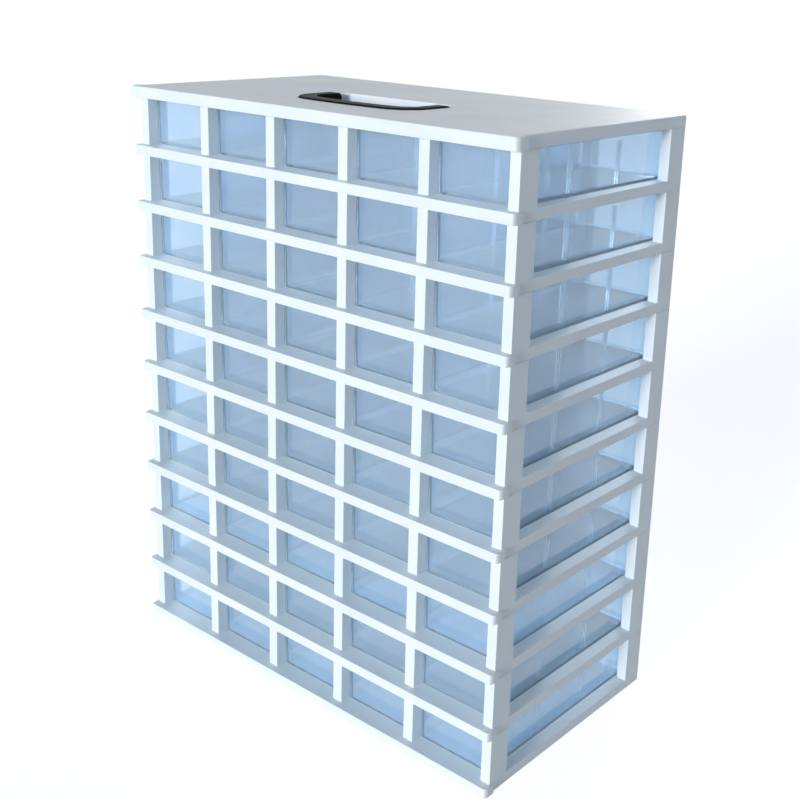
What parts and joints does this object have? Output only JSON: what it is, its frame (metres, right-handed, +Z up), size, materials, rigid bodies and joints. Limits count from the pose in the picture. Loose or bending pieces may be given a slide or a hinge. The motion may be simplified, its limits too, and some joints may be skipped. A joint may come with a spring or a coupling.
{
  "type": "parts bin cabinet",
  "caption": "Upright storage cabinet of stacked moulded tiers, each holding a row of clear open drawers that slide out, under a flat cover with a fold-down carry handle.",
  "frame": {"origin": "middle of the footprint on the surface the cabinet stands on", "axes": "+X to the right seen from the front, +Y to the back, +Z up; the drawers open towards -Y"},
  "size_m": [0.3866, 0.2098, 0.4701],
  "materials": {
    "white_moulding": "moulded, slightly glossy",
    "clear_blue": "clear with a light blue tint",
    "black_moulding": "moulded, semi gloss"
  },
  "bodies": {
    "cabinet": {"tier_frames_1_2": "white_moulding", "tier_frames_3_4": "white_moulding", "tier_frames_5_6": "white_moulding", "tier_frames_7_8": "white_moulding", "tier_frames_9_10": "white_moulding", "top_cover": "white_moulding"},
    "handle": {"carry_handle": "black_moulding"},
    "drawer_01_1_body": {"drawer_01_1": "clear_blue"},
    "drawer_01_2_body": {"drawer_01_2": "clear_blue"},
    "drawer_01_3_body": {"drawer_01_3": "clear_blue"},
    "drawer_01_4_body": {"drawer_01_4": "clear_blue"},
    "drawer_01_5_body": {"drawer_01_5": "clear_blue"},
    "drawer_02_1_body": {"drawer_02_1": "clear_blue"},
    "drawer_02_2_body": {"drawer_02_2": "clear_blue"},
    "drawer_02_3_body": {"drawer_02_3": "clear_blue"},
    "drawer_02_4_body": {"drawer_02_4": "clear_blue"},
    "drawer_02_5_body": {"drawer_02_5": "clear_blue"},
    "drawer_03_1_body": {"drawer_03_1": "clear_blue"},
    "drawer_03_2_body": {"drawer_03_2": "clear_blue"},
    "drawer_03_3_body": {"drawer_03_3": "clear_blue"},
    "drawer_03_4_body": {"drawer_03_4": "clear_blue"},
    "drawer_03_5_body": {"drawer_03_5": "clear_blue"},
    "drawer_04_1_body": {"drawer_04_1": "clear_blue"},
    "drawer_04_2_body": {"drawer_04_2": "clear_blue"},
    "drawer_04_3_body": {"drawer_04_3": "clear_blue"},
    "drawer_04_4_body": {"drawer_04_4": "clear_blue"},
    "drawer_04_5_body": {"drawer_04_5": "clear_blue"},
    "drawer_05_1_body": {"drawer_05_1": "clear_blue"},
    "drawer_05_2_body": {"drawer_05_2": "clear_blue"},
    "drawer_05_3_body": {"drawer_05_3": "clear_blue"},
    "drawer_05_4_body": {"drawer_05_4": "clear_blue"},
    "drawer_05_5_body": {"drawer_05_5": "clear_blue"},
    "drawer_06_1_body": {"drawer_06_1": "clear_blue"},
    "drawer_06_2_body": {"drawer_06_2": "clear_blue"},
    "drawer_06_3_body": {"drawer_06_3": "clear_blue"},
    "drawer_06_4_body": {"drawer_06_4": "clear_blue"},
    "drawer_06_5_body": {"drawer_06_5": "clear_blue"},
    "drawer_07_1_body": {"drawer_07_1": "clear_blue"},
    "drawer_07_2_body": {"drawer_07_2": "clear_blue"},
    "drawer_07_3_body": {"drawer_07_3": "clear_blue"},
    "drawer_07_4_body": {"drawer_07_4": "clear_blue"},
    "drawer_07_5_body": {"drawer_07_5": "clear_blue"},
    "drawer_08_1_body": {"drawer_08_1": "clear_blue"},
    "drawer_08_2_body": {"drawer_08_2": "clear_blue"},
    "drawer_08_3_body": {"drawer_08_3": "clear_blue"},
    "drawer_08_4_body": {"drawer_08_4": "clear_blue"},
    "drawer_08_5_body": {"drawer_08_5": "clear_blue"},
    "drawer_09_1_body": {"drawer_09_1": "clear_blue"},
    "drawer_09_2_body": {"drawer_09_2": "clear_blue"},
    "drawer_09_3_body": {"drawer_09_3": "clear_blue"},
    "drawer_09_4_body": {"drawer_09_4": "clear_blue"},
    "drawer_09_5_body": {"drawer_09_5": "clear_blue"},
    "drawer_10_1_body": {"drawer_10_1": "clear_blue"},
    "drawer_10_2_body": {"drawer_10_2": "clear_blue"},
    "drawer_10_3_body": {"drawer_10_3": "clear_blue"},
    "drawer_10_4_body": {"drawer_10_4": "clear_blue"},
    "drawer_10_5_body": {"drawer_10_5": "clear_blue"}
  },
  "joints": [
    {"name": "handle_hinge", "type": "hinge", "parent": "cabinet", "child": "handle", "pos_m": [0, -0.0122, 0.4661], "axis": [-1, 0, 0], "range_deg": [0, 90]},
    {"name": "drawer_01_1_slide", "type": "slide", "parent": "cabinet", "child": "drawer_01_1_body", "axis": [0, -1, 0], "range_m": [0, 0.13]},
    {"name": "drawer_01_2_slide", "type": "slide", "parent": "cabinet", "child": "drawer_01_2_body", "axis": [0, -1, 0], "range_m": [0, 0.13]},
    {"name": "drawer_01_3_slide", "type": "slide", "parent": "cabinet", "child": "drawer_01_3_body", "axis": [0, -1, 0], "range_m": [0, 0.13]},
    {"name": "drawer_01_4_slide", "type": "slide", "parent": "cabinet", "child": "drawer_01_4_body", "axis": [0, -1, 0], "range_m": [0, 0.13]},
    {"name": "drawer_01_5_slide", "type": "slide", "parent": "cabinet", "child": "drawer_01_5_body", "axis": [0, -1, 0], "range_m": [0, 0.13]},
    {"name": "drawer_02_1_slide", "type": "slide", "parent": "cabinet", "child": "drawer_02_1_body", "axis": [0, -1, 0], "range_m": [0, 0.13]},
    {"name": "drawer_02_2_slide", "type": "slide", "parent": "cabinet", "child": "drawer_02_2_body", "axis": [0, -1, 0], "range_m": [0, 0.13]},
    {"name": "drawer_02_3_slide", "type": "slide", "parent": "cabinet", "child": "drawer_02_3_body", "axis": [0, -1, 0], "range_m": [0, 0.13]},
    {"name": "drawer_02_4_slide", "type": "slide", "parent": "cabinet", "child": "drawer_02_4_body", "axis": [0, -1, 0], "range_m": [0, 0.13]},
    {"name": "drawer_02_5_slide", "type": "slide", "parent": "cabinet", "child": "drawer_02_5_body", "axis": [0, -1, 0], "range_m": [0, 0.13]},
    {"name": "drawer_03_1_slide", "type": "slide", "parent": "cabinet", "child": "drawer_03_1_body", "axis": [0, -1, 0], "range_m": [0, 0.13]},
    {"name": "drawer_03_2_slide", "type": "slide", "parent": "cabinet", "child": "drawer_03_2_body", "axis": [0, -1, 0], "range_m": [0, 0.13]},
    {"name": "drawer_03_3_slide", "type": "slide", "parent": "cabinet", "child": "drawer_03_3_body", "axis": [0, -1, 0], "range_m": [0, 0.13]},
    {"name": "drawer_03_4_slide", "type": "slide", "parent": "cabinet", "child": "drawer_03_4_body", "axis": [0, -1, 0], "range_m": [0, 0.13]},
    {"name": "drawer_03_5_slide", "type": "slide", "parent": "cabinet", "child": "drawer_03_5_body", "axis": [0, -1, 0], "range_m": [0, 0.13]},
    {"name": "drawer_04_1_slide", "type": "slide", "parent": "cabinet", "child": "drawer_04_1_body", "axis": [0, -1, 0], "range_m": [0, 0.13]},
    {"name": "drawer_04_2_slide", "type": "slide", "parent": "cabinet", "child": "drawer_04_2_body", "axis": [0, -1, 0], "range_m": [0, 0.13]},
    {"name": "drawer_04_3_slide", "type": "slide", "parent": "cabinet", "child": "drawer_04_3_body", "axis": [0, -1, 0], "range_m": [0, 0.13]},
    {"name": "drawer_04_4_slide", "type": "slide", "parent": "cabinet", "child": "drawer_04_4_body", "axis": [0, -1, 0], "range_m": [0, 0.13]},
    {"name": "drawer_04_5_slide", "type": "slide", "parent": "cabinet", "child": "drawer_04_5_body", "axis": [0, -1, 0], "range_m": [0, 0.13]},
    {"name": "drawer_05_1_slide", "type": "slide", "parent": "cabinet", "child": "drawer_05_1_body", "axis": [0, -1, 0], "range_m": [0, 0.13]},
    {"name": "drawer_05_2_slide", "type": "slide", "parent": "cabinet", "child": "drawer_05_2_body", "axis": [0, -1, 0], "range_m": [0, 0.13]},
    {"name": "drawer_05_3_slide", "type": "slide", "parent": "cabinet", "child": "drawer_05_3_body", "axis": [0, -1, 0], "range_m": [0, 0.13]},
    {"name": "drawer_05_4_slide", "type": "slide", "parent": "cabinet", "child": "drawer_05_4_body", "axis": [0, -1, 0], "range_m": [0, 0.13]},
    {"name": "drawer_05_5_slide", "type": "slide", "parent": "cabinet", "child": "drawer_05_5_body", "axis": [0, -1, 0], "range_m": [0, 0.13]},
    {"name": "drawer_06_1_slide", "type": "slide", "parent": "cabinet", "child": "drawer_06_1_body", "axis": [0, -1, 0], "range_m": [0, 0.13]},
    {"name": "drawer_06_2_slide", "type": "slide", "parent": "cabinet", "child": "drawer_06_2_body", "axis": [0, -1, 0], "range_m": [0, 0.13]},
    {"name": "drawer_06_3_slide", "type": "slide", "parent": "cabinet", "child": "drawer_06_3_body", "axis": [0, -1, 0], "range_m": [0, 0.13]},
    {"name": "drawer_06_4_slide", "type": "slide", "parent": "cabinet", "child": "drawer_06_4_body", "axis": [0, -1, 0], "range_m": [0, 0.13]},
    {"name": "drawer_06_5_slide", "type": "slide", "parent": "cabinet", "child": "drawer_06_5_body", "axis": [0, -1, 0], "range_m": [0, 0.13]},
    {"name": "drawer_07_1_slide", "type": "slide", "parent": "cabinet", "child": "drawer_07_1_body", "axis": [0, -1, 0], "range_m": [0, 0.13]},
    {"name": "drawer_07_2_slide", "type": "slide", "parent": "cabinet", "child": "drawer_07_2_body", "axis": [0, -1, 0], "range_m": [0, 0.13]},
    {"name": "drawer_07_3_slide", "type": "slide", "parent": "cabinet", "child": "drawer_07_3_body", "axis": [0, -1, 0], "range_m": [0, 0.13]},
    {"name": "drawer_07_4_slide", "type": "slide", "parent": "cabinet", "child": "drawer_07_4_body", "axis": [0, -1, 0], "range_m": [0, 0.13]},
    {"name": "drawer_07_5_slide", "type": "slide", "parent": "cabinet", "child": "drawer_07_5_body", "axis": [0, -1, 0], "range_m": [0, 0.13]},
    {"name": "drawer_08_1_slide", "type": "slide", "parent": "cabinet", "child": "drawer_08_1_body", "axis": [0, -1, 0], "range_m": [0, 0.13]},
    {"name": "drawer_08_2_slide", "type": "slide", "parent": "cabinet", "child": "drawer_08_2_body", "axis": [0, -1, 0], "range_m": [0, 0.13]},
    {"name": "drawer_08_3_slide", "type": "slide", "parent": "cabinet", "child": "drawer_08_3_body", "axis": [0, -1, 0], "range_m": [0, 0.13]},
    {"name": "drawer_08_4_slide", "type": "slide", "parent": "cabinet", "child": "drawer_08_4_body", "axis": [0, -1, 0], "range_m": [0, 0.13]},
    {"name": "drawer_08_5_slide", "type": "slide", "parent": "cabinet", "child": "drawer_08_5_body", "axis": [0, -1, 0], "range_m": [0, 0.13]},
    {"name": "drawer_09_1_slide", "type": "slide", "parent": "cabinet", "child": "drawer_09_1_body", "axis": [0, -1, 0], "range_m": [0, 0.13]},
    {"name": "drawer_09_2_slide", "type": "slide", "parent": "cabinet", "child": "drawer_09_2_body", "axis": [0, -1, 0], "range_m": [0, 0.13]},
    {"name": "drawer_09_3_slide", "type": "slide", "parent": "cabinet", "child": "drawer_09_3_body", "axis": [0, -1, 0], "range_m": [0, 0.13]},
    {"name": "drawer_09_4_slide", "type": "slide", "parent": "cabinet", "child": "drawer_09_4_body", "axis": [0, -1, 0], "range_m": [0, 0.13]},
    {"name": "drawer_09_5_slide", "type": "slide", "parent": "cabinet", "child": "drawer_09_5_body", "axis": [0, -1, 0], "range_m": [0, 0.13]},
    {"name": "drawer_10_1_slide", "type": "slide", "parent": "cabinet", "child": "drawer_10_1_body", "axis": [0, -1, 0], "range_m": [0, 0.13]},
    {"name": "drawer_10_2_slide", "type": "slide", "parent": "cabinet", "child": "drawer_10_2_body", "axis": [0, -1, 0], "range_m": [0, 0.13]},
    {"name": "drawer_10_3_slide", "type": "slide", "parent": "cabinet", "child": "drawer_10_3_body", "axis": [0, -1, 0], "range_m": [0, 0.13]},
    {"name": "drawer_10_4_slide", "type": "slide", "parent": "cabinet", "child": "drawer_10_4_body", "axis": [0, -1, 0], "range_m": [0, 0.13]},
    {"name": "drawer_10_5_slide", "type": "slide", "parent": "cabinet", "child": "drawer_10_5_body", "axis": [0, -1, 0], "range_m": [0, 0.13]}
  ]
}
